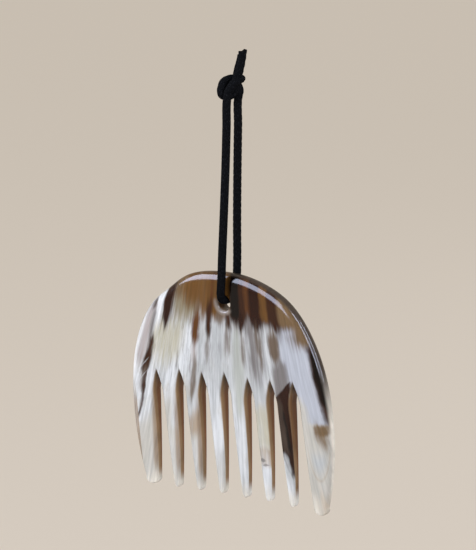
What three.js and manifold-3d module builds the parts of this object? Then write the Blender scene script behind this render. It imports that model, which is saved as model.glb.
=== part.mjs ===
// Horn mane comb on a hanging cord: a polished plate of horn with a domed top and long tapering
// teeth, drilled near its top edge, and a black cord that goes through the hole and is tied into a loop.
// Millimetres. +Z is up and the comb's front faces -Y. The origin is the hanging point: inside the top
// of the loop, under the knot.

import * as THREE from 'three';
import { mergeVertices } from 'three/addons/utils/BufferGeometryUtils.js';
import Module from 'manifold-3d';

// Plate outline, measured from the middle of the comb's widest line
const COMB_WIDTH = 100;
const CROWN_RISE = 59; // widest line up to the top of the dome
const CROWN_FULLNESS = 2.28; // exponent of the dome's curve: 2 is an ellipse, more is squarer
const SHOULDER_DIP = 1.65; // the left shoulder is sawn this much too low
const SHOULDER_X = -27.5; // middle of the low stretch
const SHOULDER_SPREAD = 7.5; // how far the low stretch reaches each way
const TIP_DEPTH = 30.4; // widest line down to the middle tips
const FLANK_DRAW_IN = 4.6; // how far each side comes in between the widest line and the tips

// Teeth and the gaps between them
const TOOTH_COUNT = 8;
const END_TOOTH_REACH = 9.2; // middle line of an end tooth out to the comb's side
const TOOTH_LENGTH = 48.6; // top of a gap down to the middle tips
const GAP_ROOT_WIDTH = 4; // gap width at the foot of its pointed arch
const ARCH_HEIGHT = 8;
const ARCH_POINT = 1.5; // exponent of the arch's curve: 1 is a plain point, more is rounder
const TIP_WIDTH = 2.2; // tooth width where its rounded point starts
const TIP_ROUND = 2.6; // length of the rounded point
const TAPER_POWER = 1.9; // how late the teeth narrow: 1 is straight sides
const TIP_LINE_BOW = 1.6; // how far the line of tips drops towards the sides

// Thickness and rounded edges
const CROWN_THICKNESS = 6;
const TIP_THICKNESS = 3;
const TAPER_ABOVE_GAPS = 7; // the faces start to taper this far above the tops of the gaps
const RIM_ROUND = 3; // width of the rounding on each face along the dome
const RIM_LAND = 0.3; // flat left in the middle of the fully rounded rim
const EDGE_ROUND = 1; // width of the rounding on each face along the teeth
const EDGE_ROUND_SHARE = 0.6; // largest share of half a tooth's width that the rounding takes

// Hole for the cord
const HOLE_DIAMETER = 5.8;
const HOLE_LIP = 1.15; // rounding at both mouths
const HOLE_BELOW_TOP = 11.85; // top of the dome to the hole's centre
const HOLE_OFFSET = 2.5; // hole's centre to the right of the comb's middle

// Cord and knot
const CORD_DIAMETER = 3;
const CLEARANCE = 0.3; // between pieces that touch
const KNOT_DIAMETER = 9.6;
const KNOT_HEIGHT = 9.2;
const KNOT_PROFILE = [[0, 0], [0.93, 0], [1, 0.2], [1, 0.6], [0.8, 0.9], [0, 1]]; // shares: out, up
const KNOT_TURN_SPACING = 2.8; // between the two turns of cord around the knot
const KNOT_TURN_BULGE = 0.4; // how far the turns stand out of the knot
const KNOT_TURN_LEAN = 24; // degrees

// Loop as [x, y, z]: the front strand from the knot down to the hole, through it and up the back
const LOOP_ROUTE = [
  [1.9, -3.4, 0], [1.85, -3.5, -10], [1.7, -3.75, -24], [1.45, -4.1, -38], [1.2, -4.5, -51], [0.95, -4.8, -62],
  [0.75, -4.85, -69.5], [0.5, -4.84, -73.2], [0.3, -4.8, -75.35], [0.2, -3.94, -77.29], [0.1, -1.9, -78.13],
  [0.1, 0, -78.15], [0.1, 1.9, -78.13], [0.15, 3.94, -77.29], [0.2, 4.8, -75.35], [0.3, 4.84, -73.2],
  [0.45, 4.85, -69.5], [0.6, 4.8, -62], [0.7, 4.5, -51], [1, 4.1, -38], [1.35, 3.75, -24], [1.7, 3.5, -10],
  [1.8, 3.4, 0],
];
// Cut ends of the cord as [x, y, z], from inside the knot to the cut
const TAIL_ROUTES = [
  [[2.5, 0.8, 5], [3.7, 0.95, 9], [4.6, 1.4, 13.5], [5.2, 1.8, 18.6]],
  [[1.2, 2.2, 5], [1.6, 3, 9], [2.4, 3.7, 13.5], [2.8, 4.1, 16.6]],
];

// Fineness of the curves
const DOME_STEPS = 44;
const FLANK_STEPS = 5;
const ARCH_STEPS = 4;
const SIDE_STEPS = 6;
const TIP_STEPS = 6;
const HOLE_STEPS = 24;
const EDGE_ANGLES = [0, 30, 60, 90];
const CORD_SIDES = 8;
const LOOP_STEPS = 72;
const TAIL_STEPS = 5;
const TURN_STEPS = 18;
const SHARPEST_MITRE = 0.4; // limits how far a sharp corner of an outline moves when it is set in

const HALF_WIDTH = COMB_WIDTH / 2;
const TOOTH_PITCH = (COMB_WIDTH - 2 * END_TOOTH_REACH) / (TOOTH_COUNT - 1);
const GAP_TOP = TOOTH_LENGTH - TIP_DEPTH;
const HOLE_HEIGHT = CROWN_RISE - HOLE_BELOW_TOP;

const wasm = await Module();
wasm.setup();

// Half the width of a gap at a depth below its top: a pointed arch that opens towards the tips
function gapHalfWidth(depth) {
  const arch = 1 - (1 - Math.min(depth / ARCH_HEIGHT, 1)) ** ARCH_POINT;
  const spread = (TOOTH_PITCH - TIP_WIDTH - GAP_ROOT_WIDTH) / 2;
  return GAP_ROOT_WIDTH / 2 * arch + spread * (depth / TOOTH_LENGTH) ** TAPER_POWER;
}

function flankX(z) {
  return HALF_WIDTH - FLANK_DRAW_IN * (z / TIP_DEPTH) ** 2;
}

function toothAxis(tooth) {
  return (tooth - (TOOTH_COUNT - 1) / 2) * TOOTH_PITCH;
}

// Level at which a tooth's sides end and its rounded point starts
function pointLevel(tooth) {
  const tip = -TIP_DEPTH - TIP_LINE_BOW * (toothAxis(tooth) / HALF_WIDTH) ** 2;
  return tip + TIP_ROUND;
}

// Points of one side of a gap, from its arch down to the level where its tooth's point starts
function gapSide(gapX, side, tooth) {
  const deepest = GAP_TOP - pointLevel(tooth);
  const depths = [];
  for (let i = 1; i <= ARCH_STEPS; i++) depths.push(ARCH_HEIGHT * i / ARCH_STEPS);
  for (let i = 1; i <= SIDE_STEPS; i++) {
    depths.push(THREE.MathUtils.lerp(ARCH_HEIGHT, deepest, i / SIDE_STEPS));
  }
  return depths.map((depth) => {
    const half = gapHalfWidth(depth);
    const toothHalf = TOOTH_PITCH / 2 - half;
    const round = Math.min(EDGE_ROUND, toothHalf * EDGE_ROUND_SHARE);
    return { x: gapX + side * half, z: GAP_TOP - depth, round };
  });
}

// Rounded point of a tooth, from its left side to its right side
function toothPoint(left, right) {
  const half = (right.x - left.x) / 2;
  const points = [];
  for (let i = 1; i < TIP_STEPS; i++) {
    const angle = Math.PI * i / TIP_STEPS;
    const level = THREE.MathUtils.lerp(left.z, right.z, i / TIP_STEPS);
    points.push({
      x: left.x + half - half * Math.cos(angle),
      z: level - TIP_ROUND * Math.sin(angle),
      round: Math.min(left.round, right.round),
    });
  }
  return points;
}

// The side of the plate from its widest line down to the outer tooth's point
function flank(side, tooth) {
  const points = [];
  for (let i = 1; i <= FLANK_STEPS; i++) {
    const share = i / FLANK_STEPS;
    const z = pointLevel(tooth) * share;
    const round = THREE.MathUtils.lerp(RIM_ROUND, EDGE_ROUND, share);
    points.push({ x: side * flankX(z), z, round });
  }
  return points;
}

function dome() {
  const points = [];
  for (let i = 0; i <= DOME_STEPS; i++) {
    const angle = Math.PI * i / DOME_STEPS;
    const across = Math.cos(angle);
    const up = Math.max(Math.sin(angle), 0) ** (2 / CROWN_FULLNESS);
    const x = HALF_WIDTH * Math.sign(across) * Math.abs(across) ** (2 / CROWN_FULLNESS);
    const dip = SHOULDER_DIP * Math.exp(-(((x - SHOULDER_X) / SHOULDER_SPREAD) ** 2));
    points.push({ x, z: CROWN_RISE * up - dip, round: RIM_ROUND });
  }
  return points;
}

// The whole edge of the plate, anticlockwise seen from the front, from the right end of the widest line
function combOutline() {
  const last = TOOTH_COUNT - 1;
  const points = [...dome(), ...flank(-1, 0)];
  for (let gap = 0; gap < last; gap++) {
    const gapX = (toothAxis(gap) + toothAxis(gap + 1)) / 2;
    const up = gapSide(gapX, -1, gap).reverse();
    points.push(...toothPoint(points.at(-1), up[0]), ...up);
    points.push({ x: gapX, z: GAP_TOP, round: EDGE_ROUND });
    points.push(...gapSide(gapX, 1, gap + 1));
  }
  const rightFlank = flank(1, last).reverse();
  points.push(...toothPoint(points.at(-1), rightFlank[0]), ...rightFlank);
  return points;
}

// The edge of the hole, clockwise seen from the front
function holeOutline() {
  const points = [];
  for (let i = 0; i < HOLE_STEPS; i++) {
    const angle = -2 * Math.PI * i / HOLE_STEPS;
    const x = HOLE_OFFSET + HOLE_DIAMETER / 2 * Math.cos(angle);
    const z = HOLE_HEIGHT + HOLE_DIAMETER / 2 * Math.sin(angle);
    points.push({ x, z, round: HOLE_LIP });
  }
  return points;
}

// An outline moved into the material by a share of each point's rounding
function insetLoop(points, share) {
  return points.map((point, i) => {
    const before = points.at(i - 1);
    const after = points[(i + 1) % points.length];
    const come = new THREE.Vector2(point.x - before.x, point.z - before.z).normalize();
    const go = new THREE.Vector2(after.x - point.x, after.z - point.z).normalize();
    const inward = new THREE.Vector2(-come.y, come.x);
    const middle = new THREE.Vector2(-go.y, go.x).add(inward).normalize();
    const reach = point.round * share / Math.max(middle.dot(inward), SHARPEST_MITRE);
    return { x: point.x + middle.x * reach, z: point.z + middle.y * reach, round: point.round };
  });
}

// The plate: rings of points along both outlines, rounded towards each face, and flat faces between them
function combGeometry() {
  const loops = [combOutline(), holeOutline()];
  const [faceEdge, faceHole] = loops.map((loop) => insetLoop(loop, 1));

  // The face is flat above the fold, and flat again but sloping below it
  const taperTop = GAP_TOP + TAPER_ABOVE_GAPS;
  const foldRight = faceEdge.findIndex((point) => point.z > taperTop);
  const foldLeft = DOME_STEPS - foldRight;
  const foldLevel = faceEdge[foldRight].z;
  const halfThickness = (z) => {
    const share = Math.max(0, (foldLevel - z) / (foldLevel + TIP_DEPTH));
    return THREE.MathUtils.lerp(CROWN_THICKNESS, TIP_THICKNESS, share) / 2;
  };

  const positions = [];
  const triangles = [];
  const addRing = (loop, side, angle) => {
    const start = positions.length / 3;
    for (const point of insetLoop(loop, 1 - Math.cos(angle))) {
      const half = halfThickness(point.z);
      const depth = Math.min(point.round, half - RIM_LAND / 2);
      positions.push(point.x, side * (half - depth * (1 - Math.sin(angle))), point.z);
    }
    return start;
  };

  // Rings run from the back face over the edge to the front face
  const angles = EDGE_ANGLES.map(THREE.MathUtils.degToRad);
  const faceStarts = loops.map((loop) => {
    const back = angles.toReversed().map((angle) => addRing(loop, 1, angle));
    const front = angles.map((angle) => addRing(loop, -1, angle));
    const rings = [...back, ...front];
    for (let k = 0; k + 1 < rings.length; k++) {
      for (let i = 0; i < loop.length; i++) {
        const j = (i + 1) % loop.length;
        triangles.push(rings[k] + i, rings[k] + j, rings[k + 1] + j);
        triangles.push(rings[k] + i, rings[k + 1] + j, rings[k + 1] + i);
      }
    }
    return { back: rings[0], front: rings.at(-1) };
  });

  const addFaces = (corners, holeCorners) => {
    const toFlat = (point) => new THREE.Vector2(point.x, point.z);
    const edge = corners.map((i) => toFlat(faceEdge[i]));
    const hole = holeCorners.map((i) => toFlat(faceHole[i]));
    const flat = [...edge, ...hole];
    for (const face of THREE.ShapeUtils.triangulateShape(edge, hole.length ? [hole] : [])) {
      if (THREE.ShapeUtils.area(face.map((i) => flat[i])) < 0) face.reverse();
      const onSide = (side) => (i) => (i < corners.length
        ? faceStarts[0][side] + corners[i]
        : faceStarts[1][side] + holeCorners[i - corners.length]);
      triangles.push(...face.map(onSide('front')));
      triangles.push(...face.toReversed().map(onSide('back')));
    }
  };
  const corners = [...faceEdge.keys()];
  addFaces(corners.slice(foldRight, foldLeft + 1), [...faceHole.keys()]);
  addFaces([...corners.slice(foldLeft), ...corners.slice(0, foldRight + 1)], []);

  const geometry = new THREE.BufferGeometry();
  geometry.setAttribute('position', new THREE.Float32BufferAttribute(positions, 3));
  geometry.setIndex(triangles);
  return geometry;
}

// Volume centre of a closed surface, from the tetrahedra between its triangles and the origin
function volumeCentre(geometry) {
  const place = geometry.getAttribute('position');
  const index = geometry.getIndex().array;
  const centre = new THREE.Vector3();
  let volume = 0;
  for (let i = 0; i < index.length; i += 3) {
    const corner = (k) => new THREE.Vector3().fromBufferAttribute(place, index[i + k]);
    const [a, b, c] = [corner(0), corner(1), corner(2)];
    const part = a.dot(b.clone().cross(c)) / 6;
    volume += part;
    centre.addScaledVector(a.add(b).add(c), part / 4);
  }
  return centre.divideScalar(volume);
}

function cordTube(route, steps) {
  const section = new THREE.Shape();
  section.absarc(0, 0, CORD_DIAMETER / 2, 0, 2 * Math.PI);
  return new THREE.ExtrudeGeometry(section, {
    steps,
    curveSegments: CORD_SIDES / 2,
    bevelEnabled: false,
    extrudePath: new THREE.CatmullRomCurve3(route.map((place) => new THREE.Vector3(...place))),
  });
}

function toSolid(geometry) {
  geometry.deleteAttribute('normal');
  geometry.deleteAttribute('uv');
  const merged = mergeVertices(geometry);
  return new wasm.Manifold(new wasm.Mesh({
    numProp: 3,
    vertProperties: new Float32Array(merged.getAttribute('position').array),
    triVerts: new Uint32Array(merged.getIndex().array),
  }));
}

function toGeometry(solid) {
  const mesh = solid.getMesh();
  const geometry = new THREE.BufferGeometry();
  geometry.setAttribute('position', new THREE.Float32BufferAttribute(mesh.vertProperties, mesh.numProp));
  geometry.setIndex([...mesh.triVerts]);
  return geometry;
}

// The knot: a tight bundle with two turns of cord around it, and the two cut ends
function knotGeometry() {
  const bundleRadius = KNOT_DIAMETER / 2 - KNOT_TURN_BULGE;
  const profile = KNOT_PROFILE.map(([out, up]) => new THREE.Vector2(out * bundleRadius, up * KNOT_HEIGHT));
  const bundle = new THREE.LatheGeometry(profile, TURN_STEPS);
  bundle.rotateX(Math.PI / 2);
  bundle.translate(0, 0, CLEARANCE);
  let solid = toSolid(bundle);
  for (const side of [-1, 1]) {
    const turnRadius = (KNOT_DIAMETER - CORD_DIAMETER) / 2;
    const turn = new THREE.TorusGeometry(turnRadius, CORD_DIAMETER / 2, CORD_SIDES, TURN_STEPS);
    turn.rotateY(THREE.MathUtils.degToRad(KNOT_TURN_LEAN));
    turn.translate(0, 0, CLEARANCE + (KNOT_HEIGHT + side * KNOT_TURN_SPACING) / 2);
    solid = solid.add(toSolid(turn));
  }
  for (const route of TAIL_ROUTES) {
    solid = solid.add(toSolid(cordTube(route, TAIL_STEPS)));
  }
  return toGeometry(solid);
}

function piece(name, geometry, material) {
  const mesh = new THREE.Mesh(geometry, material);
  mesh.name = name;
  return mesh;
}

const hornMaterial = new THREE.MeshStandardMaterial({ color: 0xb9aa96, roughness: 0.22, metalness: 0 });
const cordMaterial = new THREE.MeshStandardMaterial({ color: 0x121214, roughness: 0.9, metalness: 0 });

const comb = piece('horn_comb', combGeometry(), hornMaterial);
comb.position.set(-HOLE_OFFSET, 0, -HOLE_HEIGHT);

// The cord bears on the top of the hole, and the comb is turned so that its weight hangs straight below
const cordInHole = LOOP_ROUTE[(LOOP_ROUTE.length - 1) / 2];
const weight = volumeCentre(comb.geometry);
const hangingComb = new THREE.Group();
hangingComb.rotation.y = Math.atan2(weight.x - HOLE_OFFSET, HOLE_HEIGHT - weight.z);
hangingComb.position.set(...cordInHole);
hangingComb.position.z -= (HOLE_DIAMETER - CORD_DIAMETER) / 2 - CLEARANCE;
hangingComb.add(comb);

const combOnCord = new THREE.Group();
combOnCord.add(hangingComb);
combOnCord.add(piece('cord_loop', cordTube(LOOP_ROUTE, LOOP_STEPS), cordMaterial));
combOnCord.add(piece('cord_knot', knotGeometry(), cordMaterial));

export default combOnCord;
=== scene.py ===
"""Horn mane comb hanging on a loop of black cord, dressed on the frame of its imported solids."""
import math

import bmesh
import bpy
from mathutils import Matrix, Vector
from mathutils.geometry import interpolate_bezier


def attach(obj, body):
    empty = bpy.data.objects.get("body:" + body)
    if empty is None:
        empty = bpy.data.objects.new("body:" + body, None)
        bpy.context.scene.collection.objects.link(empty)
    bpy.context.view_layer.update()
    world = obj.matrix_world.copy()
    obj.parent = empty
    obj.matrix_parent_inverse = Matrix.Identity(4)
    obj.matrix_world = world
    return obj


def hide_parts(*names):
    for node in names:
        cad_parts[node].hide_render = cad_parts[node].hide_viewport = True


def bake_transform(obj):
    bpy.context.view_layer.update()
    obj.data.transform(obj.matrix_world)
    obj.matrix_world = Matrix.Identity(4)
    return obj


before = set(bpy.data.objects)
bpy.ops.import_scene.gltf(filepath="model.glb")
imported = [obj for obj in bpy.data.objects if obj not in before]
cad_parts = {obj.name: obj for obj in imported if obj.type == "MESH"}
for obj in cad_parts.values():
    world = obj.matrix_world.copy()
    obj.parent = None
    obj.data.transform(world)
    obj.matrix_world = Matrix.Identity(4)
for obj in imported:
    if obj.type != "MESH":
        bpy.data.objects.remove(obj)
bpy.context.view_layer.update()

# Comb plate
# One plate of cattle horn, sawn to a dome over eight tapering teeth, drilled near its top and rounded along
# every edge. It hangs from the cord in its hole, turned a little by its own weight.
MM = 0.001
COMB_WIDTH = 100
CROWN_RISE = 59
CROWN_FULLNESS = 2.28
SHOULDER_DIP = 1.65  # the left shoulder is sawn a little low
SHOULDER_X = -27.5
SHOULDER_SPREAD = 7.5
RIGHT_FULLNESS = 1.1  # and the right one is left a little full
RIGHT_X = 35
RIGHT_SPREAD = 10
TIP_DEPTH = 30.4
FLANK_DRAW_IN = 4.6
TOOTH_COUNT = 8
END_TOOTH_REACH = 9.2
TOOTH_LENGTH = 48.6
GAP_ROOT_WIDTH = 4
ARCH_HEIGHT = 8
ARCH_POINT = 1.5  # 1 is a plain point, more is a rounder arch
TIP_WIDTH = 2.2
TIP_ROUND = 2.6
TAPER_POWER = 1.9
TIP_LINE_BOW = 1.6
CROWN_THICKNESS = 6
TIP_THICKNESS = 3
TAPER_START = 25.2  # height above the widest line where the faces start to taper
TAPER_EASE = 0.08  # share of the taper over which it sets in
RIM_ROUND = 4.5
RIM_LAND = 0.3
EDGE_ROUND = 1.5
EDGE_ROUND_SHARE = 0.45
HOLE_DIAMETER = 5.8
HOLE_LIP = 1.15
HOLE_X = 2.5
HOLE_Z = 47.15
HANG_ANGLE = math.radians(-5.157)
HOLE_IN_ROW = Vector((0.1, 0, -79.25)) * MM
# Sawn by hand: how far each gap's top is off to the right and up, and how much shorter each tooth is
GAP_SHIFT = (0, 0.45, 0.45, 0.3, 0.2, -0.4, -1.1)
GAP_LIFT = (-2.1, -0.9, -1.2, 0, -1.2, -0.8, -0.4)
TIP_LIFT = (0.7, 0.4, 0.3, 0.3, 0.2, 0.4, 0, -1)
DOME_STEPS = 160
FLANK_STEPS = 24
ARCH_STEPS = 8
SIDE_STEPS = 18
TIP_STEPS = 14
HOLE_STEPS = 56
ROUND_STEPS = 8
FACE_SUPPORT = 1.06  # a last ring just inside the rounding keeps the flat face flat
SHARPEST_MITRE = 0.4
SLICE_HEIGHT = 2.5  # spacing of the cuts across the faces, which let them taper evenly

TOOTH_PITCH = (COMB_WIDTH - 2 * END_TOOTH_REACH) / (TOOTH_COUNT - 1)
GAP_TOP = TOOTH_LENGTH - TIP_DEPTH
comb_place = (Matrix.Translation(HOLE_IN_ROW) @ Matrix.Rotation(HANG_ANGLE, 4, "Y")
              @ Matrix.Translation(Vector((-HOLE_X, 0, -HOLE_Z)) * MM))


def half_thickness(z):
    share = min(max((TAPER_START - z) / (TAPER_START + TIP_DEPTH), 0), 1)
    eased = (1 + TAPER_EASE) * share ** 2 / (share + TAPER_EASE)
    return (CROWN_THICKNESS + (TIP_THICKNESS - CROWN_THICKNESS) * eased) / 2


def gap_half_width(depth):
    arch = 1 - (1 - min(depth / ARCH_HEIGHT, 1)) ** ARCH_POINT
    spread = (TOOTH_PITCH - TIP_WIDTH - GAP_ROOT_WIDTH) / 2
    return GAP_ROOT_WIDTH / 2 * arch + spread * (depth / TOOTH_LENGTH) ** TAPER_POWER


def tooth_axis(tooth):
    return (tooth - (TOOTH_COUNT - 1) / 2) * TOOTH_PITCH


def point_level(tooth):
    """Height at which a tooth's sides end and its rounded point starts."""
    bow = TIP_LINE_BOW * (2 * tooth_axis(tooth) / COMB_WIDTH) ** 2
    return -TIP_DEPTH - bow + TIP_LIFT[tooth] + TIP_ROUND


def gap_side(gap, side, tooth):
    """One side of a gap as (x, z, rounding), from its top down to where its tooth's point starts."""
    top = GAP_TOP + GAP_LIFT[gap]
    deepest = top - point_level(tooth)
    depths = [ARCH_HEIGHT * i / ARCH_STEPS for i in range(1, ARCH_STEPS + 1)]
    depths += [ARCH_HEIGHT + (deepest - ARCH_HEIGHT) * i / SIDE_STEPS for i in range(1, SIDE_STEPS + 1)]
    points = []
    for depth in depths:
        half = gap_half_width(depth)
        middle = tooth_axis(gap + 0.5) + GAP_SHIFT[gap] * (1 - depth / TOOTH_LENGTH)
        rounding = min(EDGE_ROUND, (TOOTH_PITCH / 2 - half) * EDGE_ROUND_SHARE)
        points.append((middle + side * half, top - depth, rounding))
    return points


def tooth_point(left, right):
    half = (right[0] - left[0]) / 2
    points = []
    for i in range(1, TIP_STEPS):
        angle = math.pi * i / TIP_STEPS
        level = left[1] + (right[1] - left[1]) * i / TIP_STEPS
        points.append((left[0] + half - half * math.cos(angle), level - TIP_ROUND * math.sin(angle),
                       min(left[2], right[2])))
    return points


def flank(side, tooth):
    points = []
    for i in range(1, FLANK_STEPS + 1):
        share = i / FLANK_STEPS
        z = point_level(tooth) * share
        x = side * (COMB_WIDTH / 2 - FLANK_DRAW_IN * (z / TIP_DEPTH) ** 2)
        points.append((x, z, RIM_ROUND + (EDGE_ROUND - RIM_ROUND) * share))
    return points


def comb_edge():
    """The plate's edge as (x, z, rounding), anticlockwise from the right end of its widest line."""
    points = []
    for i in range(DOME_STEPS + 1):
        angle = math.pi * i / DOME_STEPS
        across = math.cos(angle)
        x = COMB_WIDTH / 2 * math.copysign(abs(across) ** (2 / CROWN_FULLNESS), across)
        z = CROWN_RISE * max(math.sin(angle), 0) ** (2 / CROWN_FULLNESS)
        dip = SHOULDER_DIP * math.exp(-((x - SHOULDER_X) / SHOULDER_SPREAD) ** 2)
        full = RIGHT_FULLNESS * math.exp(-((x - RIGHT_X) / RIGHT_SPREAD) ** 2)
        points.append((x, z - dip + full, RIM_ROUND))
    points += flank(-1, 0)
    for gap in range(TOOTH_COUNT - 1):
        rising = gap_side(gap, -1, gap)[::-1]
        points += tooth_point(points[-1], rising[0]) + rising
        points.append((tooth_axis(gap + 0.5) + GAP_SHIFT[gap], GAP_TOP + GAP_LIFT[gap], EDGE_ROUND))
        points += gap_side(gap, 1, gap + 1)
    right_flank = flank(1, TOOTH_COUNT - 1)[::-1]
    return points + tooth_point(points[-1], right_flank[0]) + right_flank


def hole_edge():
    points = []
    for i in range(HOLE_STEPS):
        angle = -2 * math.pi * i / HOLE_STEPS
        points.append((HOLE_X + HOLE_DIAMETER / 2 * math.cos(angle),
                       HOLE_Z + HOLE_DIAMETER / 2 * math.sin(angle), HOLE_LIP))
    return points


def inward(points, i):
    """Direction from an edge point into the horn, long enough to set both its edges in by one."""
    before, here, after = (Vector(points[k % len(points)][:2]) for k in (i - 1, i, i + 1))
    come = (here - before).normalized()
    go = (after - here).normalized()
    side = Vector((-come.y, come.x))
    middle = (side + Vector((-go.y, go.x))).normalized()
    return middle / max(middle.dot(side), SHARPEST_MITRE)


def draw_ring(bm, edges, place, edge_points, inset, rise, side):
    """Extrudes a ring of edges along the plate's edge, set in and raised by shares of the rounding."""
    made = bmesh.ops.extrude_edge_only(bm, edges=edges)["geom"]
    for vertex in (item for item in made if isinstance(item, bmesh.types.BMVert)):
        i = vertex[place]
        x, z, rounding = edge_points[i]
        step = inward(edge_points, i) * rounding * inset
        half = half_thickness(z + step.y)
        depth = min(rounding, half - RIM_LAND / 2)
        vertex.co = (x + step.x, side * (half - depth * (1 - rise)), z + step.y)
    return [item for item in made if isinstance(item, bmesh.types.BMEdge)
            and all(vertex in made for vertex in item.verts)]


comb_mesh = bmesh.new()
edge_place = comb_mesh.verts.layers.int.new("edge_place")
face_edges = {-1: [], 1: []}
for edge_points in (comb_edge(), hole_edge()):
    corners = []
    for i, (x, z, rounding) in enumerate(edge_points):
        corner = comb_mesh.verts.new((x, 0, z))
        corner[edge_place] = i
        corners.append(corner)
    middle_line = [comb_mesh.edges.new((corner, corners[i - 1])) for i, corner in enumerate(corners)]
    for side in (-1, 1):
        ring = middle_line
        for step in range(ROUND_STEPS + 1):
            angle = math.pi / 2 * step / ROUND_STEPS
            ring = draw_ring(comb_mesh, ring, edge_place, edge_points, 1 - math.cos(angle),
                             math.sin(angle), side)
        face_edges[side] += draw_ring(comb_mesh, ring, edge_place, edge_points, FACE_SUPPORT, 1, side)
for side in (-1, 1):
    filled = bmesh.ops.triangle_fill(comb_mesh, use_beauty=True, edges=face_edges[side], normal=(0, side, 0))
    face = [item for item in filled["geom"] if isinstance(item, bmesh.types.BMFace)]
    level = TAPER_START
    while level > -TIP_DEPTH:
        edges = {edge for item in face for edge in item.edges}
        vertices = {vertex for item in face for vertex in item.verts}
        cut = bmesh.ops.bisect_plane(comb_mesh, geom=list(vertices) + list(edges) + face,
                                     plane_co=(0, 0, level), plane_no=(0, 0, 1))
        face = [item for item in cut["geom"] if isinstance(item, bmesh.types.BMFace)]
        level -= SLICE_HEIGHT
    for vertex in {vertex for item in face for vertex in item.verts}:
        vertex.co.y = side * half_thickness(vertex.co.z)
bmesh.ops.recalc_face_normals(comb_mesh, faces=comb_mesh.faces)
bmesh.ops.transform(comb_mesh, matrix=comb_place @ Matrix.Scale(MM, 4), verts=comb_mesh.verts)


def piece_from(bm, name, material):
    mesh = bpy.data.meshes.new(name)
    bm.to_mesh(mesh)
    bm.free()
    mesh.shade_smooth()
    mesh.materials.append(material)
    piece = bpy.data.objects.new(name, mesh)
    bpy.context.scene.collection.objects.link(piece)
    return piece


def linear(hex_colour):
    """An sRGB hex colour as the linear colour that a shader takes."""
    values = [int(hex_colour[i:i + 2], 16) / 255 for i in (1, 3, 5)]
    return [v / 12.92 if v <= 0.04045 else ((v + 0.055) / 1.055) ** 2.4 for v in values] + [1]


def add_node(tree, kind, inputs, output=0, **settings):
    """Adds a node with its settings and its inputs, as values or as sockets to link, and gives one output."""
    made = tree.nodes.new(kind)
    for name, value in settings.items():
        setattr(made, name, value)
    for name, value in inputs.items():
        if isinstance(value, bpy.types.NodeSocket):
            tree.links.new(value, made.inputs[name])
        else:
            made.inputs[name].default_value = value
    return made.outputs[output]


# Polished cattle horn: milk-white skin over brown, drawn out in growth lines that fan down from the crown,
# with wispy ends where one colour runs out into another, and a high polish
# painted light: a brighter white for the left side, where the light from the left falls on it
LIT_LEFT_WHITE = "#E6E6E3"
MILK = "#D2D4D3"
PEARL = "#AFB1AF"
LAVENDER = "#B0B3B9"
LICHEN = "#ABADA4"
BONE = "#BAB6AB"
CREAM = "#B5AF99"
IVORY = "#DAD3C3"
OLIVE = "#877D66"
BEIGE = "#A3917A"
SMOKE = "#77726F"
MAUVE = "#A79D98"
DRAB = "#665749"
AMBER = "#66451F"
GOLD = "#64431E"
TAN = "#6E573B"
CARAMEL = "#5A3518"
BARK = "#341A0B"
UMBER = "#250B02"
SOOT = "#080201"
SAND = "#9E876A"
WALNUT = "#84694A"
CHESTNUT = "#754B2D"
TAUPE = "#463B32"
FAN_X = 12  # the growth lines run together at this point far above the crown
FAN_Z = 160
FAN_UNIT = 130
STREAK_POINT = 1.4  # how far a streak draws in towards each of its ends
WISPINESS = 0.5  # how strongly a streak's soft ends are drawn out into wisps
WANDER = 1.4  # how far a streak strays to either side
FEATHER = 0.85  # how far a streak's ends run up and down, as a share of their softness
FINE_FEATHER = 0.4
FIBRE_STRENGTH = 0.85

horn = bpy.data.materials.new("polished_horn")
horn.use_nodes = True
tree = horn.node_tree
tree.nodes.clear()
place = add_node(tree, "ShaderNodeMapping",
                 {"Vector": add_node(tree, "ShaderNodeTexCoord", {}, "Object"),
                  "Location": comb_place.translation, "Rotation": (0, HANG_ANGLE, 0), "Scale": (MM, MM, MM)},
                 vector_type="TEXTURE")
separate = tree.nodes.new("ShaderNodeSeparateXYZ")
tree.links.new(place, separate.inputs[0])
x, y, z = separate.outputs
fan_side = add_node(tree, "ShaderNodeMath", {0: x, 1: FAN_X}, operation="SUBTRACT")
fan_drop = add_node(tree, "ShaderNodeMath", {0: FAN_Z, 1: z}, operation="SUBTRACT")
fan_slope = add_node(tree, "ShaderNodeMath", {0: fan_side, 1: fan_drop}, operation="DIVIDE")
across = add_node(tree, "ShaderNodeMath", {0: fan_slope, 1: FAN_UNIT}, operation="MULTIPLY")
growth = add_node(tree, "ShaderNodeCombineXYZ", {0: across, 1: y, 2: z})


def grain(width, depth, length, detail):
    """Noise drawn out along the growth lines, with its streaks' sizes in millimetres."""
    scaled = add_node(tree, "ShaderNodeVectorMath",
                      {0: growth, 1: (1 / width, 1 / depth, 1 / length)}, operation="MULTIPLY")
    return add_node(tree, "ShaderNodeTexNoise", {"Vector": scaled, "Scale": 1, "Detail": detail,
                                                  "Roughness": 0.6})


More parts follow.
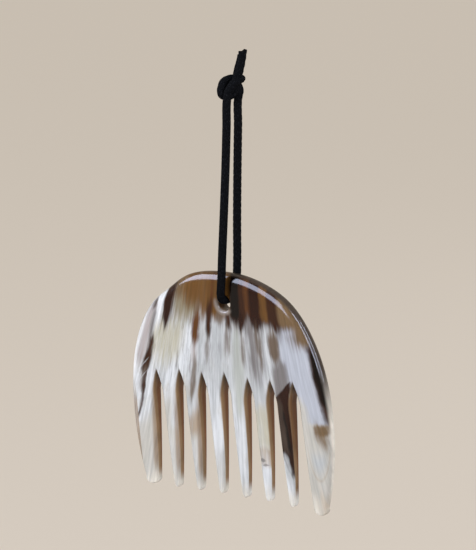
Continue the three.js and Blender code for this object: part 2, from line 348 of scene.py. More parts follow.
wander = add_node(tree, "ShaderNodeMath", {0: grain(6, 9, 16, 4), 1: 2 * WANDER, 2: -WANDER},
                  operation="MULTIPLY_ADD")
streak_across = add_node(tree, "ShaderNodeMath", {0: across, 1: wander}, operation="ADD")
feather = add_node(tree, "ShaderNodeMath", {0: grain(2.2, 6, 30, 2), 1: 2 * FEATHER, 2: -FEATHER},
                   operation="MULTIPLY_ADD")
fray = add_node(tree, "ShaderNodeMath", {0: grain(0.9, 3, 25, 2), 1: 2 * FINE_FEATHER, 2: -FINE_FEATHER},
                operation="MULTIPLY_ADD")
fray = add_node(tree, "ShaderNodeMath", {0: feather, 1: fray}, operation="ADD")
wisps = add_node(tree, "ShaderNodeMath", {0: grain(0.9, 2.5, 16, 3), 1: grain(2, 4, 26, 2)}, operation="ADD")
wisps = add_node(tree, "ShaderNodeMapRange", {"Value": wisps, "From Min": 0.7, "From Max": 1.3,
                                              "To Min": -1, "To Max": 1})

# One streak of colour: a band along the growth lines that draws in to soft ends, broken up into wisps
streak = bpy.data.node_groups.new("horn_streak", "ShaderNodeTree")
for name in ("Across", "Height", "Fray", "Wisps", "Middle", "Half Width", "Level", "Half Height", "Slant",
             "Edge", "End", "Strength"):
    streak.interface.new_socket(name, in_out="INPUT", socket_type="NodeSocketFloat")
streak.interface.new_socket("Mask", in_out="OUTPUT", socket_type="NodeSocketFloat")
asked = streak.nodes.new("NodeGroupInput").outputs
off_middle = add_node(streak, "ShaderNodeMath", {0: asked["Across"], 1: asked["Middle"]},
                      operation="SUBTRACT")
off_level = add_node(streak, "ShaderNodeMath", {0: asked["Height"], 1: asked["Level"]},
                     operation="SUBTRACT")
off_level = add_node(streak, "ShaderNodeMath", {0: off_middle, 1: asked["Slant"], 2: off_level},
                     operation="MULTIPLY_ADD")
off_level = add_node(streak, "ShaderNodeMath", {0: asked["Fray"], 1: asked["End"], 2: off_level},
                     operation="MULTIPLY_ADD")
mask = 1
for off, reach, blur in ((off_level, "Half Height", "End"), (off_middle, "Half Width", "Edge")):
    beyond = add_node(streak, "ShaderNodeMath", {0: off}, operation="ABSOLUTE")
    beyond = add_node(streak, "ShaderNodeMath", {0: beyond, 1: asked[reach]}, operation="SUBTRACT")
    if off is off_middle:
        drawn_in = add_node(streak, "ShaderNodeMath", {0: mask, 1: -STREAK_POINT, 2: STREAK_POINT},
                            operation="MULTIPLY_ADD")
        beyond = add_node(streak, "ShaderNodeMath", {0: beyond, 1: drawn_in}, operation="ADD")
    beyond = add_node(streak, "ShaderNodeMath", {0: beyond, 1: asked[blur]}, operation="DIVIDE")
    share = add_node(streak, "ShaderNodeMapRange",
                     {"Value": beyond, "From Min": -1, "From Max": 1, "To Min": 1, "To Max": 0},
                     interpolation_type="SMOOTHSTEP")
    mask = add_node(streak, "ShaderNodeMath", {0: mask, 1: share}, operation="MULTIPLY")
mask = add_node(streak, "ShaderNodeMath", {0: mask, 1: asked["Strength"]}, operation="MULTIPLY")
unmasked = add_node(streak, "ShaderNodeMath", {0: 1, 1: mask}, operation="SUBTRACT")
halfway = add_node(streak, "ShaderNodeMath", {0: mask, 1: unmasked}, operation="MULTIPLY")
drawn_out = add_node(streak, "ShaderNodeMath", {0: halfway, 1: asked["Wisps"]}, operation="MULTIPLY")
mask = add_node(streak, "ShaderNodeMath", {0: drawn_out, 1: 2 * WISPINESS, 2: mask},
                operation="MULTIPLY_ADD", use_clamp=True)
bare = add_node(streak, "ShaderNodeMath", {0: 1, 1: mask}, operation="SUBTRACT")
bare = add_node(streak, "ShaderNodeMath", {0: bare, 1: 2}, operation="POWER")
mask = add_node(streak, "ShaderNodeMath", {0: 1, 1: bare}, operation="SUBTRACT")
add_node(streak, "NodeGroupOutput", {"Mask": mask}, output=slice(0))


def lay_over(colour, *layers):
    """A colour with others laid over it in turn, each given with the mask that says where it lies."""
    for layer, mask in layers:
        colour = add_node(tree, "ShaderNodeMix", {0: mask, 6: colour, 7: layer}, 2, data_type="RGBA")
    return colour


def where(*limits):
    """A mask that is whole where every value is past its limits, each given as (value, none, whole)."""
    mask = 1
    for value, none, whole in limits:
        share = add_node(tree, "ShaderNodeMapRange",
                         {"Value": value, "From Min": min(none, whole), "From Max": max(none, whole),
                          "To Min": float(none > whole), "To Max": float(none < whole)},
                         interpolation_type="SMOOTHSTEP")
        mask = add_node(tree, "ShaderNodeMath", {0: mask, 1: share}, operation="MULTIPLY")
    return mask


fibres = add_node(tree, "ShaderNodeMath",
                  {0: where((grain(0.6, 2, 7, 4), 0.48, 0.7), (z, 2, 28)), 1: FIBRE_STRENGTH},
                  operation="MULTIPLY")
skin = lay_over(linear(MILK), (linear(PEARL), where((grain(2.2, 5, 24, 3), 0.42, 0.72))),
                (linear(BONE), where((grain(5, 7, 9, 3), 0.52, 0.85))), (linear(SMOKE), fibres))

# Colour, place on the face (x, z), half width, top, bottom, slant, softness of sides and of ends, strength
STREAKS = (
    (PEARL, (8, 28), 19, 47, 13, -0.02, 6, 8, 0.4),
    (LAVENDER, (38.4, 20), 8, 41, 3.6, 0.02, 2.5, 0.9, 0.8),
    (BONE, (37.6, 4), 2.6, 12, -9, -0.15, 1.5, 4, 0.75),
    (OLIVE, (-17, 43), 7.8, 60, 40.4, -0.2, 3, 6, 0.9),
    (CREAM, (-28.5, 30), 7.5, 38, 22, 0.05, 4, 6, 0.62),
    (LICHEN, (8, 26), 1.8, 41, 4, -0.15, 1.5, 9, 0.75),
    (SMOKE, (17, 30), 3.6, 39, 19, 0.05, 2.6, 6, 0.48),
    (SMOKE, (19, 40), 13, 46, 37, -0.02, 2, 4.5, 0.6),
    (CREAM, (18.2, 1), 3, 8, -8.5, 0.15, 1.5, 3, 0.5),
    (SAND, (18, -12.5), 2.6, -8.6, -16, -0.15, 1.2, 1.6, 0.32),
    (BEIGE, (-17, -4), 2.8, 2, -8, 0.15, 1.5, 4, 0.5),
    (BONE, (-17, -20), 4, -9, -60, -0.05, 1, 4, 0.35),
    (BONE, (-5, -24), 4, -16, -60, 0.05, 1, 6, 0.4),
    (BONE, (-29, -16), 5, -7.5, -60, -0.8, 1, 2.5, 0.5),
    (BONE, (-42, -18), 6, 1, -60, 0.8, 2, 6, 0.75),
    (BONE, (45, -14), 9, 3.6, -60, -0.02, 1, 1, 0.75),
    # painted light: the tips are painted cream for the light that shines through the thin horn
    (IVORY, (12, -40), 100, -26, -80, 0.02, 1, 4, 0.4),
    (BARK, (20, 48), 16, 120, 40.2, 0.02, 1.5, 3.4, 1),
    (TAN, (-20.5, 51), 3, 120, 49, -0.3, 2, 4, 0.8),
    (AMBER, (-11, 50), 8.6, 120, 44.6, -0.5, 2.4, 5.2, 0.86),
    (AMBER, (0.5, 48), 7, 120, 41.8, 0.05, 1.4, 3, 1),
    (CARAMEL, (-3, 50), 0.8, 120, 43, -0.15, 1, 4, 0.75),
    (SOOT, (8.5, 48), 2.8, 120, 41.4, -0.15, 2, 2.6, 1),
    (BARK, (12.2, 48), 1.5, 120, 37.6, 0.15, 1.6, 3.6, 1),
    (CARAMEL, (14.3, 48), 1.1, 120, 42.5, -0.15, 1.3, 3, 0.75),
    (UMBER, (18, 48), 2.7, 120, 38.2, 0.15, 1.8, 3.6, 1),
    (GOLD, (22.4, 48), 1.9, 120, 40.8, -0.15, 1.4, 3, 1),
    (BARK, (26.6, 47), 2.4, 120, 40, 0.15, 1.8, 3.2, 1),
    (TAN, (33, 46), 4.4, 120, 40.4, 0.05, 1.6, 2.4, 1),
    (TAN, (39.8, 38), 3.2, 48, 33.4, -0.15, 1.8, 3, 1),
    (DRAB, (36.5, 35.5), 3.6, 39, 33.5, 0.05, 3, 4, 0.4),
    (BARK, (-26.4, 43), 3.4, 120, 36, 0.15, 2, 5, 0.35),
    (BARK, (-26, 44.5), 2.5, 120, 40, -0.15, 1.1, 4, 1),
    # painted light: the upper left is painted brighter, where the light from the left falls
    (LIT_LEFT_WHITE, (-31, 43), 1.8, 60, 36, 0.15, 1.3, 5, 0.6),
    (UMBER, (-26.7, 42), 1.5, 120, 35.2, 0.15, 1, 4, 1),
    # painted light: the left edge is painted brighter, where the light from the left falls
    (LIT_LEFT_WHITE, (-46.4, 22), 2.4, 44, 8, 0.1, 2, 6, 0.6),
    (MAUVE, (-37.6, 34), 1.8, 44, 19, 0.15, 2, 4, 0.75),
    (BARK, (-33.2, 43.5), 1, 46.5, 41.5, -0.15, 1, 2, 0.6),
    (SMOKE, (-36, 33), 0.7, 43, 28, 0.15, 1, 4, 0.8),
    (BARK, (-37.7, 25), 1, 31, 18, -0.15, 1, 3, 0.9),
    (BARK, (-39.7, 20), 1.9, 24, 15.5, 0.15, 1, 2.5, 0.9),
    (DRAB, (-42.6, 13), 1.4, 18, 8, 0.15, 1.1, 3, 0.4),
    (BARK, (-42.2, 11), 0.6, 17, 5, 0.15, 0.8, 3, 0.75),
    (BARK, (-45, 2), 0.6, 12, -4.5, -0.15, 0.8, 3, 0.85),
    (MILK, (-42, 18.8), 2.2, 19.2, 18.4, 1.3, 0.9, 0.6, 0.32),
    (MILK, (-43, 13.4), 2, 13.8, 13.2, 1.5, 0.9, 0.6, 0.25),
    (DRAB, (-11.2, 42), 1.4, 47, 40, 0.15, 1.2, 4, 0.5),
    (CARAMEL, (-12.6, 35), 1.8, 42.5, 29.6, -0.15, 1.2, 4, 1),
    (MAUVE, (-14.3, 26), 1.1, 31, 22, 0.15, 1, 4, 0.5),
    (DRAB, (-15.4, 18), 0.9, 25, 7, 0.15, 1, 5, 0.7),
    (BARK, (-5.6, 37), 1.1, 48, 32, 0.15, 1.1, 4.5, 1),
    (DRAB, (-7.4, 27), 0.8, 33, 22, -0.15, 1, 5, 0.45),
    (DRAB, (0.6, 40.5), 2.4, 45, 39.5, 0.15, 1.4, 3, 0.55),
    (BARK, (4.3, 39.5), 1.2, 44, 35.5, -0.15, 1, 3.5, 0.95),
    (DRAB, (3.2, 31), 1.1, 37, 25, 0.15, 1.1, 5, 0.6),
    (UMBER, (10.9, 39), 1.2, 44, 36, -0.15, 1, 3.5, 1),
    (DRAB, (10.8, 30), 0.8, 37, 21, 0.15, 0.9, 6, 0.6),
    (SMOKE, (14.6, 37), 1.5, 42, 33.5, -0.15, 1.2, 3.5, 0.8),
    (UMBER, (18.4, 39.5), 1.5, 44, 37, 0.15, 1.2, 3.5, 1),
    (DRAB, (18.6, 32), 1.4, 38, 26, -0.15, 1.2, 5, 0.65),
    (SMOKE, (16, 29), 1, 36, 20, 0.15, 1, 6, 0.55),
    (DRAB, (19.5, 26), 0.6, 32, 20, -0.15, 0.8, 5, 0.6),
    (DRAB, (26.2, 31), 2.1, 37.5, 26, 0.15, 1.4, 4, 1),
    (SMOKE, (28.4, 19.6), 3.2, 26, 12.5, 0.6, 1.6, 3, 1),
    (BARK, (46.5, 19), 1.7, 34, 1.5, -0.15, 1.1, 3, 0.9),
    (SOOT, (46.7, 20), 1.4, 33, 9, 0.15, 1, 4, 1),
    (TAN, (46.6, 1.4), 2.2, 3.7, -0.4, 0.15, 1.8, 1.2, 0.8),
    (TAN, (45.4, -0.5), 1.8, 2.6, -5, -0.15, 1.8, 4.5, 0.6),
    (BEIGE, (45.2, -26), 1.6, -22, -40, 0.15, 1.5, 4, 0.25),
    (UMBER, (28.7, 4), 5, 14.3, -8, 1, 1, 0.7, 1),
    (UMBER, (30.3, -10), 3.2, 4, -19, -3.2, 1, 3.2, 0.9),
    (TAUPE, (27.6, 2), 1.2, 12, -9, 0.15, 1, 4, 0.4),
    (SOOT, (29.4, -1), 0.4, 8, -10, -0.15, 0.6, 4, 0.7),
    (BONE, (33.2, 11), 0.7, 15, 5, 0.15, 0.6, 3, 0.8),
    (PEARL, (28, -10.8), 0.8, -9, -13, -0.8, 0.8, 2, 0.5),
    (PEARL, (29.1, -14.2), 0.6, -11, -17, -0.8, 0.7, 2.4, 0.45),
    (SMOKE, (16.6, -13.6), 1, -12.8, -14.4, -0.15, 0.4, 0.6, 0.7),
    (SMOKE, (17.8, -15.4), 1.1, -15, -16, 0.15, 0.4, 0.6, 0.6),
)
face = skin
for colour, (streak_x, streak_z), half_width, top, bottom, slant, edge, end, strength in STREAKS:
    mask = add_node(tree, "ShaderNodeGroup",
                    {"Across": streak_across, "Height": z, "Fray": fray, "Wisps": wisps,
                     "Middle": (streak_x - FAN_X) * FAN_UNIT / (FAN_Z - streak_z), "Half Width": half_width,
                     "Level": (top + bottom) / 2, "Half Height": (top - bottom) / 2, "Slant": -slant,
                     "Edge": edge, "End": end, "Strength": strength},
                    node_tree=streak)
    face = lay_over(face, (linear(colour), mask))

# Growth rings that the saw cut through at a flat angle, left as thin curved lines on the right end tooth
RING_MIDDLE = (44, 0, -2)
RING_REACH = (5.2, 1, 16.5)
RING_STRENGTH = 0.35
from_ring = add_node(tree, "ShaderNodeVectorMath", {0: place, 1: RING_MIDDLE}, operation="SUBTRACT")
from_ring = add_node(tree, "ShaderNodeVectorMath", {0: from_ring, 1: RING_REACH}, operation="DIVIDE")
from_ring = add_node(tree, "ShaderNodeVectorMath", {0: from_ring, 1: (1, 0, 1)}, operation="MULTIPLY")
from_ring = add_node(tree, "ShaderNodeVectorMath", {0: from_ring}, "Value", operation="LENGTH")
ring_line = add_node(tree, "ShaderNodeMath",
                     {0: where((from_ring, 0.92, 1), (from_ring, 1.07, 1), (z, -3, -9)), 1: RING_STRENGTH},
                     operation="MULTIPLY")
face = lay_over(face, (linear(PEARL), where((from_ring, 1, 0.6), (z, -5, -12))), (linear(BEIGE), ring_line))

# Under the pale skin of the face the horn is brown, as the sawn walls of the gaps show. The skin is thin at
# the gap tops and thicker towards the tips. The face is browner along the right side of the three left teeth,
# next to the gaps. The dark tooth's wall is stained darker
TIP_SKIN = 0.7
GAP_EDGE_STRENGTH = 0.7
STAIN_STRENGTH = 0.55
half_here = add_node(tree, "ShaderNodeMapRange",
                     {"Value": z, "From Min": -TIP_DEPTH, "From Max": TAPER_START,
                      "To Min": TIP_THICKNESS / 2, "To Max": CROWN_THICKNESS / 2})
under_face = add_node(tree, "ShaderNodeMath", {0: y, 1: half_here}, operation="ADD")
over_back = add_node(tree, "ShaderNodeMath", {0: half_here, 1: y}, operation="SUBTRACT")
skin_depth = add_node(tree, "ShaderNodeMapRange", {"Value": z, "From Min": -20, "From Max": 8,
                                                   "To Min": TIP_SKIN, "To Max": 0})
under_skin = add_node(tree, "ShaderNodeMath", {0: under_face, 1: skin_depth}, operation="SUBTRACT")
gap_share = add_node(tree, "ShaderNodeMath", {0: x, 1: TOOTH_PITCH}, operation="DIVIDE")
gap_share = add_node(tree, "ShaderNodeMath", {0: gap_share}, operation="FRACT")
to_middle = add_node(tree, "ShaderNodeMath", {0: gap_share, 1: -TOOTH_PITCH, 2: TOOTH_PITCH},
                     operation="MULTIPLY_ADD")
gap_half = add_node(tree, "ShaderNodeMapRange", {"Value": z, "From Min": -TIP_DEPTH, "From Max": GAP_TOP,
                                                 "To Min": gap_half_width(TOOTH_LENGTH),
                                                 "To Max": gap_half_width(ARCH_HEIGHT) - 0.6})
to_gap = add_node(tree, "ShaderNodeMath", {0: to_middle, 1: gap_half}, operation="SUBTRACT")
gap_edge_brown = add_node(tree, "ShaderNodeMath",
                {0: where((to_gap, 2.2, 0.4), (z, 15, 0), (z, -29, -19), (x, -9, -12)), 1: GAP_EDGE_STRENGTH},
                operation="MULTIPLY")
stained = add_node(tree, "ShaderNodeMath",
                   {0: where((x, 29.5, 31.5), (x, 38, 36), (z, -20, -3), (z, 16, 11)), 1: STAIN_STRENGTH},
                   operation="MULTIPLY")
core = lay_over(linear(SAND), (linear(WALNUT), where((under_skin, 0, 0.6))),
                (linear(CHESTNUT), where((under_skin, 1, 2.4))),
                (linear(BARK), where((grain(1.6, 1.2, 40, 3), 0.55, 0.95))),
                # painted shade: the walls are greyed towards the gap tops, where the arches shade them
                (linear(TAUPE), where((z, 8, 22))),
                (linear(CARAMEL), stained))
walls = where((under_skin, -0.05, 0.35), (over_back, 0, 0.4), (z, -29, -23), (z, 22, 18), (x, 45, 43),
              (across, -46.5, -44.5))

# The outer edge is cut across the layers, so it is plain: brown over the crown and ivory down the right side
rim_colour = lay_over(linear(IVORY), (linear(TAUPE), where((z, 2, 26))))
outside = add_node(tree, "ShaderNodeMath", {0: where((z, 17, 21)), 1: where((x, 46, 48.5))},
                   operation="MAXIMUM")
rim = add_node(tree, "ShaderNodeMath",
               {0: where((under_face, 0.7, 1.8), (over_back, 0, 1.2), (x, -25, 28)), 1: outside},
               operation="MULTIPLY")

# The lower lip of the hole is painted pale: a painted highlight where the lip catches the light
LIP_HIGHLIGHT = "#867B71"
AWAY_FROM_LIT_LIP = (0.5, 0, 0.9)  # points away from the side of the hole whose lip is painted pale
off_hole = add_node(tree, "ShaderNodeVectorMath", {0: place, 1: (HOLE_X, 0, HOLE_Z)}, operation="SUBTRACT")
off_hole = add_node(tree, "ShaderNodeVectorMath", {0: off_hole, 1: (1, 0, 1)}, operation="MULTIPLY")
hole_rise = add_node(tree, "ShaderNodeVectorMath", {0: off_hole, 1: AWAY_FROM_LIT_LIP}, "Value",
                     operation="DOT_PRODUCT")
off_hole = add_node(tree, "ShaderNodeVectorMath", {0: off_hole}, "Value", operation="LENGTH")
lip_highlight_mask = where((off_hole, 5.4, 3.8), (off_hole, 2.8, 3.1), (hole_rise, 0.5, -2), (under_face, 1.4, 0.8))
horn_colour = lay_over(face, (linear(WALNUT), gap_edge_brown), (core, walls), (rim_colour, rim),
                       (linear(LIP_HIGHLIGHT), lip_highlight_mask))

# The polish: a faint unevenness in shade, gloss and level along the growth lines
SHADES = (0.78, 1.12)
GLOSS = (0.06, 0.18)
RIPPLE_HEIGHT = 0.2
RIPPLE_STRENGTH = 0.08
HORN_IOR = 1.55
HORN_SPECULAR = 0.22  # low, because the lights made for shine are bright
shade = add_node(tree, "ShaderNodeMapRange", {"Value": grain(1, 3, 20, 4), "From Min": 0.3, "From Max": 0.7,
                                              "To Min": SHADES[0], "To Max": SHADES[1]})
horn_colour = add_node(tree, "ShaderNodeHueSaturation", {"Color": horn_colour, "Value": shade})
polish = add_node(tree, "ShaderNodeMapRange", {"Value": grain(1.5, 1.5, 6, 3), "To Min": GLOSS[0],
                                               "To Max": GLOSS[1]})
ripple = add_node(tree, "ShaderNodeBump", {"Height": grain(2.5, 2.5, 12, 2), "Strength": RIPPLE_STRENGTH,
                                           "Distance": RIPPLE_HEIGHT * MM})
shader = add_node(tree, "ShaderNodeBsdfPrincipled",
                  {"Base Color": horn_colour, "Roughness": polish, "IOR": HORN_IOR,
                   "Specular IOR Level": HORN_SPECULAR, "Normal": ripple})
add_node(tree, "ShaderNodeOutputMaterial", {"Surface": shader}, output=slice(0))

comb = piece_from(comb_mesh, "horn_comb_plate", horn)
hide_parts("horn_comb")
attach(comb, "comb")

# Cord
# One length of round black waxed cotton cord, 3 mm thick. It goes through the hole, both strands come up
# over the plate, and its two ends are tied together above it with short cut tails. The knot's turns are
# packed as tight as it looks, so they run into each other.
CORD_DIAMETER = 3
CORD_FUZZ = 0.1  # how far the loose fibres stand out
CORD_SIDES = 24
CORD_STEP = 0.4  # spacing of the rings along the cord
BRAID_RELIEF = 0.045  # height of the braid's ribs, as a share of the cord's radius
BRAID_RIBS = 4
BRAID_TURN = 2.4  # radians that the ribs turn for each millimetre of cord
CUT_SLANT = (1, 0.8, 0)  # rise of the front tail's cut across its end
CUT_TOP = 0.5  # where the cut's slope ends
FRONT_TAIL = ((5.2, 1.82, 18.3), (4.8, 1.52, 14.6), (4.15, 1.02, 10.5))
FRONT_TURN = ((3.25, 0.85, 7.6), (2.5, 0.8, 4.6), (1.5, 0.3, 1.6), (0.1, -1.2, 0.9), (-1.2, -2.7, 1.6),
              (-2.0, -1.9, 4.0), (-2.2, -0.3, 5.9), (-1.5, 2.0, 6.8), (0.4, 3.9, 7.0), (2.9, 3.7, 7.3),
              (4.0, 1.8, 7.4), (3.7, -0.6, 6.6), (2.8, -2.1, 4.8), (2.0, -2.9, 2.6), (1.65, -3.0, 0.3))
LOOP = ((1.85, -3.5, -10), (1.7, -3.75, -24), (1.45, -4.1, -38), (1.2, -4.5, -51), (0.95, -4.8, -62),
        (0.75, -4.85, -69.5), (0.5, -4.84, -73.2), (0.3, -4.75, -75.35), (0.2, -3.9, -77.25),
        (0.1, -1.9, -78.1), (0.1, 0, -78.15), (0.1, 1.9, -78.1), (0.15, 3.9, -77.25), (0.2, 4.75, -75.35),
        (0.3, 4.84, -73.2), (0.45, 4.85, -69.5), (0.6, 4.8, -62), (0.7, 4.5, -51), (1.0, 4.1, -38),
        (1.35, 3.75, -24), (1.7, 3.5, -10))
BACK_TURN = ((1.6, 3.7, 0.2), (2.3, 3.5, 2.4), (1.6, 3.8, 4.2), (-0.8, 3.4, 4.7), (-2.7, 1.3, 4.3),
             (-3.1, -0.6, 2.4), (-1.5, 0.1, 1.1), (0.4, 1.4, 1.6), (1.2, 2.1, 4.6), (1.4, 2.8, 7.6))
BACK_TAIL = ((1.8, 3.2, 10.5), (2.55, 3.82, 14.2), (2.8, 4.08, 16.1))


def smooth_route(places, step):
    """Points spaced about a step apart on one smooth curve through all the places."""
    places = [Vector(place) for place in places]
    spans = [b - a for a, b in zip(places, places[1:])]
    slopes = [spans[0].normalized()]
    for come, go in zip(spans, spans[1:]):
        slopes.append((come / come.length ** 2 + go / go.length ** 2)
                      / (1 / come.length + 1 / go.length))
    slopes.append(spans[-1].normalized())
    points = [places[0]]
    for i, span in enumerate(spans):
        reach = span.length / 3
        count = max(2, round(span.length / step))
        points += interpolate_bezier(places[i], places[i] + slopes[i] * reach,
                                     places[i + 1] - slopes[i + 1] * reach, places[i + 1], count + 1)[1:]
    return points


cord_path = smooth_route(FRONT_TAIL + FRONT_TURN + LOOP + BACK_TURN + BACK_TAIL, CORD_STEP)
run = [0]
for a, b in zip(cord_path, cord_path[1:]):
    run.append(run[-1] + (b - a).length)

cord_mesh = bmesh.new()
side_place = cord_mesh.verts.layers.int.new("side_place")
ring_place = cord_mesh.verts.layers.int.new("ring_place")
vertices = bmesh.ops.create_circle(cord_mesh, cap_ends=False, segments=CORD_SIDES,
                                   radius=CORD_DIAMETER / 2)["verts"]
for i, vertex in enumerate(vertices):
    vertex[side_place] = i
ring = list(cord_mesh.edges)
first_ring = ring
heading = cord_path[1] - cord_path[0]
turned = heading.to_track_quat("Z", "Y")
for i, point in enumerate(cord_path):
    next_heading = cord_path[min(i + 1, len(cord_path) - 1)] - cord_path[max(i - 1, 0)]
    turned = heading.rotation_difference(next_heading) @ turned
    heading = next_heading
    if i:
        made = bmesh.ops.extrude_edge_only(cord_mesh, edges=ring)["geom"]
        vertices = [item for item in made if isinstance(item, bmesh.types.BMVert)]
        ring = [item for item in made if isinstance(item, bmesh.types.BMEdge)
                and all(vertex in vertices for vertex in item.verts)]
    slant = Vector((0, 0, 0) if i else CUT_SLANT)
    for vertex in vertices:
        angle = 2 * math.pi * vertex[side_place] / CORD_SIDES
        twist = BRAID_TURN * run[i]
        rib = max(math.cos(BRAID_RIBS * angle + twist), math.cos(BRAID_RIBS * angle - twist))
        radius = (CORD_DIAMETER / 2 + CORD_FUZZ) * (1 + BRAID_RELIEF * (rib - 0.5))
        out = turned @ Vector((radius * math.cos(angle), radius * math.sin(angle), 0))
        vertex.co = point + out + Vector((0, 0, min(slant.dot(out), CUT_TOP)))
        vertex[ring_place] = i
for cut in (first_ring, ring):
    bmesh.ops.edgeloop_fill(cord_mesh, edges=cut)
bmesh.ops.recalc_face_normals(cord_mesh, faces=cord_mesh.faces)
cord_map = cord_mesh.loops.layers.uv.new("cord_map")
for face in cord_mesh.faces:
    sides = [loop.vert[side_place] for loop in face.loops]
    wraps = max(sides) - min(sides) > CORD_SIDES / 2
    for loop, side in zip(face.loops, sides):
        around = side + CORD_SIDES if wraps and side < CORD_SIDES / 2 else side
        loop[cord_map].uv = (around / CORD_SIDES * math.pi * CORD_DIAMETER, run[loop.vert[ring_place]])
bmesh.ops.scale(cord_mesh, vec=(MM, MM, MM), verts=cord_mesh.verts)

# Waxed cotton: black, dull, with short pale fibres that catch the light along its braid. Real fibres are far
# too fine to show, so they are drawn as coarse as this
COTTON = "#060607"
FIBRE = "#2B2C30"
FIBRE_WIDTH = 0.35
FIBRE_LENGTH = 0.9
FUZZ_HEIGHT = 0.15
cotton = bpy.data.materials.new("black_waxed_cotton")
cotton.use_nodes = True
tree = cotton.node_tree
tree.nodes.clear()
thread = add_node(tree, "ShaderNodeMapping",
                  {"Vector": add_node(tree, "ShaderNodeUVMap", {}, uv_map="cord_map"),
                   "Scale": (1 / FIBRE_WIDTH, 1 / FIBRE_LENGTH, 1)})
fibres = add_node(tree, "ShaderNodeTexNoise", {"Vector": thread, "Scale": 1, "Detail": 4, "Roughness": 0.65})
pale = add_node(tree, "ShaderNodeMapRange", {"Value": fibres, "From Min": 0.54, "From Max": 0.78})
cotton_colour = lay_over(linear(COTTON), (linear(FIBRE), pale))
fuzz = add_node(tree, "ShaderNodeBump", {"Height": fibres, "Strength": 0.6, "Distance": FUZZ_HEIGHT * MM})
shader = add_node(tree, "ShaderNodeBsdfPrincipled", {"Base Color": cotton_colour, "Roughness": 0.85,
                                                     "Specular IOR Level": 0.02, "Normal": fuzz})
add_node(tree, "ShaderNodeOutputMaterial", {"Surface": shader}, output=slice(0))

cord = piece_from(cord_mesh, "hanging_cord", cotton)
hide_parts("cord_loop", "cord_knot")
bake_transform(cord)

# Studio
# A plain pale paper floor well below the hanging comb. Soft lights stand at the front left, at the right and
# behind, and the first two each have another beside them that only shows as a shine. A long lens looks from
# the right and a little above.
FLOOR_Z = -0.3
FLOOR_RADIUS = 8
FLOOR = "#D6CBBD"
FLOOR_GLOW = 0.8  # share of the floor's look that is its own even colour, the rest takes the shadow
PAPER_TOOTH = 2.5  # far coarser than real paper, so that it shows
PAPER_RELIEF = 0.2


def seen_straight(tree):
    """A mask that is whole for what the camera sees, straight or in a shine or through a clear piece."""
    rays = tree.nodes.new("ShaderNodeLightPath").outputs
    seen = add_node(tree, "ShaderNodeMath", {0: rays["Is Camera Ray"], 1: rays["Is Glossy Ray"]},
                    operation="MAXIMUM")
    return add_node(tree, "ShaderNodeMath", {0: seen, 1: rays["Is Transmission Ray"]}, operation="MAXIMUM")


floor_mesh = bmesh.new()
bmesh.ops.create_circle(floor_mesh, cap_ends=True, segments=96, radius=FLOOR_RADIUS)
bmesh.ops.translate(floor_mesh, vec=(0, 0, FLOOR_Z), verts=floor_mesh.verts)
paper = bpy.data.materials.new("matt_paper")
paper.use_nodes = True
tree = paper.node_tree
tree.nodes.clear()
tooth = add_node(tree, "ShaderNodeTexNoise", {"Vector": add_node(tree, "ShaderNodeTexCoord", {}, "Object"),
                                              "Scale": 1 / (PAPER_TOOTH * MM), "Detail": 2})
relief = add_node(tree, "ShaderNodeBump", {"Height": tooth, "Strength": 0.1, "Distance": PAPER_RELIEF * MM})
shader = add_node(tree, "ShaderNodeBsdfPrincipled", {"Base Color": linear(FLOOR), "Roughness": 0.9,
                                                     "Normal": relief})
backlit = add_node(tree, "ShaderNodeEmission", {"Color": linear(FLOOR), "Strength": 1})
share = add_node(tree, "ShaderNodeMath", {0: seen_straight(tree), 1: FLOOR_GLOW}, operation="MULTIPLY")
shader = add_node(tree, "ShaderNodeMixShader", {0: share, 1: shader, 2: backlit})
add_node(tree, "ShaderNodeOutputMaterial", {"Surface": shader}, output=slice(0))
piece_from(floor_mesh, "floor", paper)

DAYLIGHT = "#ECF1FF"
SKYLIGHT = "#DCE5FF"
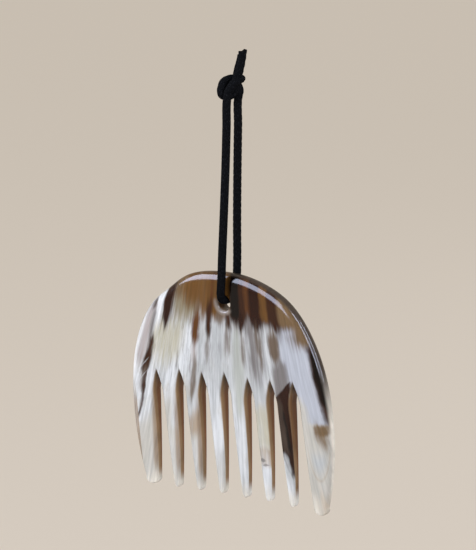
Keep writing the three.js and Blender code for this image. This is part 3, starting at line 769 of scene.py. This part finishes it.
# Name, direction from the comb, distance, width, height, power, and whether only its shine is seen
STUDIO_LIGHTS = (
    ("soft_box", (-0.62, -0.7, 0.37), 0.85, 0.62, 0.42, 7.2, False),
    ("side_strip", (0.75, -0.36, 0.55), 0.9, 0.48, 0.72, 6.6, False),
    ("back_fill", (0.25, 0.9, 0.35), 1, 0.8, 0.6, 5, False),
    ("soft_box_shine", (-0.57, -0.72, 0.44), 0.85, 0.9, 0.46, 24, True),
    ("side_strip_shine", (0.75, -0.36, 0.55), 0.9, 0.8, 0.72, 52, True),
)
comb_middle = Vector((0, 0, -0.115))
for name, direction, distance, width, height, power, shine in STUDIO_LIGHTS:
    lamp = bpy.data.lights.new(name, "AREA")
    lamp.shape = "RECTANGLE"
    lamp.size = width
    lamp.size_y = height
    lamp.energy = power
    lamp.color = linear(SKYLIGHT if shine else DAYLIGHT)[:3]
    lamp_object = bpy.data.objects.new(name, lamp)
    lamp_object.location = comb_middle + Vector(direction).normalized() * distance
    lamp_object.rotation_euler = Vector(direction).to_track_quat("Z", "Y").to_euler()
    lamp_object.visible_camera = False
    lamp_object.visible_diffuse = not shine
    lamp_object.visible_glossy = shine
    bpy.context.scene.collection.objects.link(lamp_object)

ROOM = "#FFFFFF"
ROOM_LIGHT = 0.25
BACKDROP = "#CDC2B4"
world = bpy.data.worlds.new("studio")
world.use_nodes = True
tree = world.node_tree
tree.nodes.clear()
room = add_node(tree, "ShaderNodeBackground", {"Color": linear(ROOM), "Strength": ROOM_LIGHT})
backdrop = add_node(tree, "ShaderNodeBackground", {"Color": linear(BACKDROP), "Strength": 1})
surround = add_node(tree, "ShaderNodeMixShader", {0: seen_straight(tree), 1: room, 2: backdrop})
add_node(tree, "ShaderNodeOutputWorld", {"Surface": surround}, output=slice(0))
bpy.context.scene.world = world
bpy.context.scene.view_settings.view_transform = "Standard"

VIEW_AZIMUTH = math.radians(39.28)
VIEW_ELEVATION = math.radians(14.02)
VIEW_ROLL = math.radians(0.32)
VIEW_DISTANCE = 0.9
VIEW_TARGET = Vector((1.25, 4.53, -69.26)) * MM
FRAME_HEIGHT = 0.2115  # height of the picture at the target
camera_data = bpy.data.cameras.new("camera")
camera_data.sensor_width = 36
camera_data.lens = camera_data.sensor_width * VIEW_DISTANCE / FRAME_HEIGHT
camera_data.clip_start = 0.01
camera = bpy.data.objects.new("camera", camera_data)
camera.matrix_world = (Matrix.Translation(VIEW_TARGET) @ Matrix.Rotation(VIEW_AZIMUTH, 4, "Z")
                       @ Matrix.Rotation(math.pi / 2 - VIEW_ELEVATION, 4, "X")
                       @ Matrix.Rotation(VIEW_ROLL, 4, "Z")
                       @ Matrix.Translation((0, 0, VIEW_DISTANCE)))
bpy.context.scene.collection.objects.link(camera)
bpy.context.scene.camera = camera
